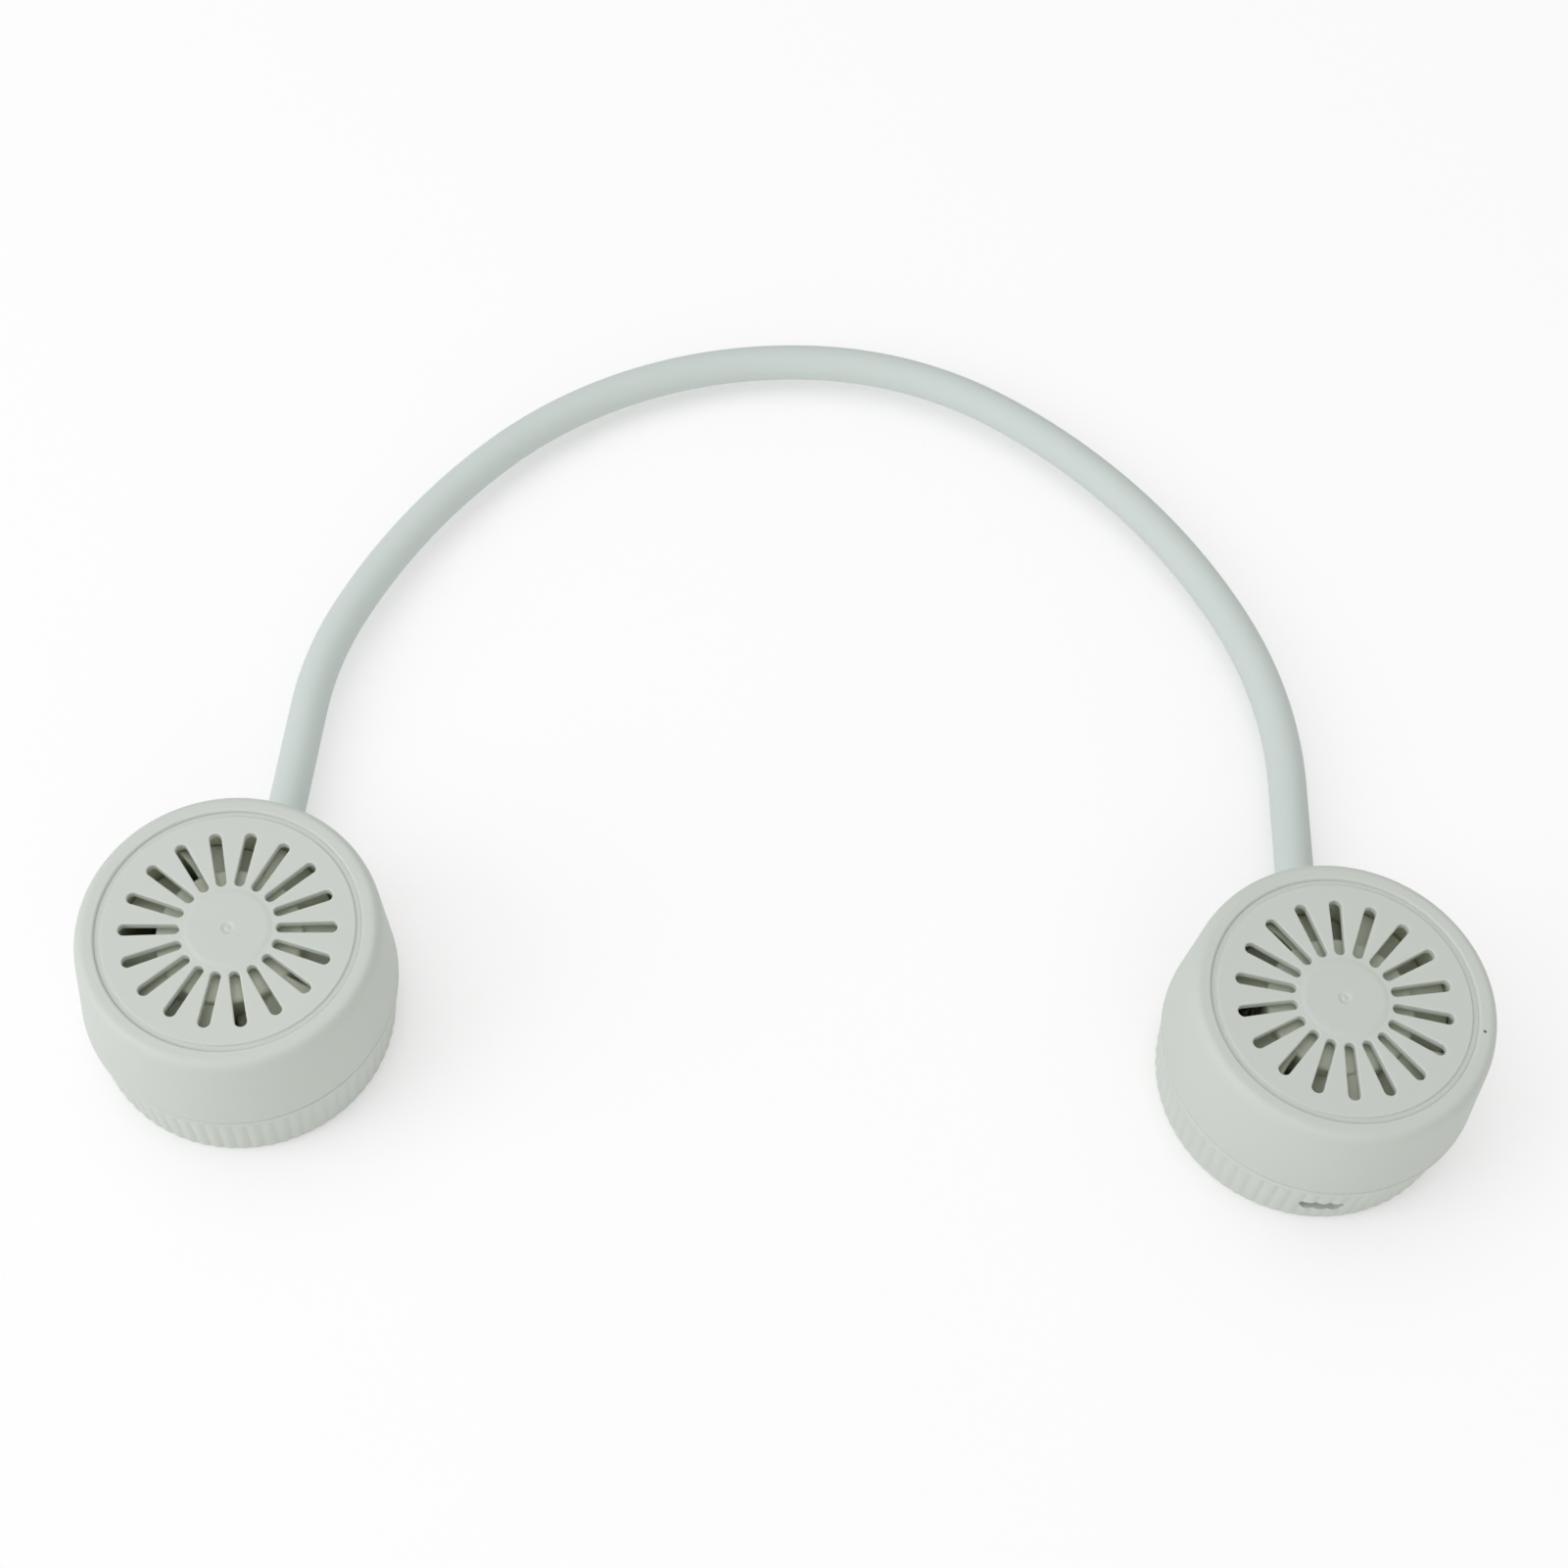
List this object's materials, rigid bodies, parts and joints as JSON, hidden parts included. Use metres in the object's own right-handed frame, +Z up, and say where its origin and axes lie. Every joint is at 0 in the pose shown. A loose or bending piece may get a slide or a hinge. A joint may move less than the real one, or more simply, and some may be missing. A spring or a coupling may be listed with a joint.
{
  "type": "neck fan",
  "caption": "Hands-free neck fan: round fan heads with slotted intakes and ribbed front rings on the ends of one bendable tube.",
  "frame": {"origin": "on the table under the middle of the whole fan, which lies on the outlet faces of its heads", "axes": "+X from the left head to the right head, +Y from the heads to the crown of the neck tube, +Z up, out of the intake grilles"},
  "size_m": [0.2998, 0.2222, 0.0415],
  "materials": {
    "sleeve": "matte silicone",
    "core": "matte jacket",
    "shell": "fine matt texture",
    "inner_plastic": "matte",
    "impeller_plastic": "satin",
    "foam": "matte",
    "cell_wrap": "satin foil",
    "motor_steel": "satin",
    "screw_steel": "satin",
    "shaft_steel": "ground",
    "lead_jacket": "matte",
    "board": "satin solder mask",
    "chips": "matte",
    "socket_steel": "satin",
    "switch_plastic": "matte",
    "plunger_plastic": "satin",
    "lamp_resin": "clear resin",
    "guide_acrylic": "clear acrylic"
  },
  "bodies": {
    "neck": {"neck_sleeve": "sleeve", "neck_core": "core"},
    "left_arm": {"left_shoulder_sleeve": "sleeve", "left_shoulder_core": "core", "left_arm_sleeve": "sleeve", "left_arm_core": "core"},
    "left_head": {"left_wrist_sleeve": "sleeve", "left_wrist_core": "core", "left_rear_housing": "shell", "left_intake_grille": "shell", "left_front_ring": "shell", "left_outlet_grille": "shell", "left_fan_frame": "inner_plastic", "left_battery_pad": "foam", "left_battery": "cell_wrap", "left_motor": "motor_steel", "left_motor_screws": "screw_steel", "left_tube_clamp": "shell", "left_clamp_screws": "screw_steel", "left_housing_screws": "screw_steel", "left_lead": "lead_jacket"},
    "left_fan": {"left_motor_shaft": "shaft_steel", "left_impeller": "impeller_plastic"},
    "right_arm": {"right_shoulder_sleeve": "sleeve", "right_shoulder_core": "core", "right_arm_sleeve": "sleeve", "right_arm_core": "core"},
    "right_head": {"right_wrist_sleeve": "sleeve", "right_wrist_core": "core", "right_rear_housing": "shell", "right_intake_grille": "shell", "right_front_ring": "shell", "right_outlet_grille": "shell", "right_fan_frame": "inner_plastic", "right_battery_pad": "foam", "right_battery": "cell_wrap", "right_motor": "motor_steel", "right_motor_screws": "screw_steel", "right_tube_clamp": "shell", "right_clamp_screws": "screw_steel", "right_housing_screws": "screw_steel", "right_lead": "lead_jacket", "control_board": "board", "board_parts": "chips", "charging_socket": "socket_steel", "button_switch": "switch_plastic", "status_lamp": "lamp_resin", "light_guide": "guide_acrylic"},
    "right_fan": {"right_motor_shaft": "shaft_steel", "right_impeller": "impeller_plastic"},
    "right_button": {"power_button": "shell", "switch_plunger": "plunger_plastic"}
  },
  "joints": [
    {"name": "left_spread", "type": "hinge", "parent": "neck", "child": "left_arm", "pos_m": [-0.08494, 0.05917, 0.0083], "axis": [0, 0, 1], "range_deg": [-30, 30], "deforming": ["left_shoulder_sleeve", "left_shoulder_core"]},
    {"name": "left_tilt", "type": "hinge", "parent": "left_arm", "child": "left_head", "pos_m": [-0.11288, -0.02971, 0.0083], "axis": [0.9979, -0.0645, 0], "range_deg": [-35, 35], "deforming": ["left_wrist_sleeve", "left_wrist_core"]},
    {"name": "left_fan_spin", "type": "hinge", "parent": "left_head", "child": "left_fan", "pos_m": [-0.11595, -0.07711, 0.02], "axis": [0, 0, 1], "continuous": true},
    {"name": "right_spread", "type": "hinge", "parent": "neck", "child": "right_arm", "pos_m": [0.09302, 0.05464, 0.0083], "axis": [0, 0, 1], "range_deg": [-30, 30], "deforming": ["right_shoulder_sleeve", "right_shoulder_core"]},
    {"name": "right_tilt", "type": "hinge", "parent": "right_arm", "child": "right_head", "pos_m": [0.11537, -0.02961, 0.0083], "axis": [0.9999, 0.0122, 0], "range_deg": [-35, 35], "deforming": ["right_wrist_sleeve", "right_wrist_core"]},
    {"name": "right_fan_spin", "type": "hinge", "parent": "right_head", "child": "right_fan", "pos_m": [0.11595, -0.07711, 0.02], "axis": [0, 0, 1], "continuous": true},
    {"name": "power_press", "type": "slide", "parent": "right_head", "child": "right_button", "axis": [-0.8721, 0.4894, 0], "range_m": [0, 0.0005], "stiffness_N_per_m": 1600}
  ]
}
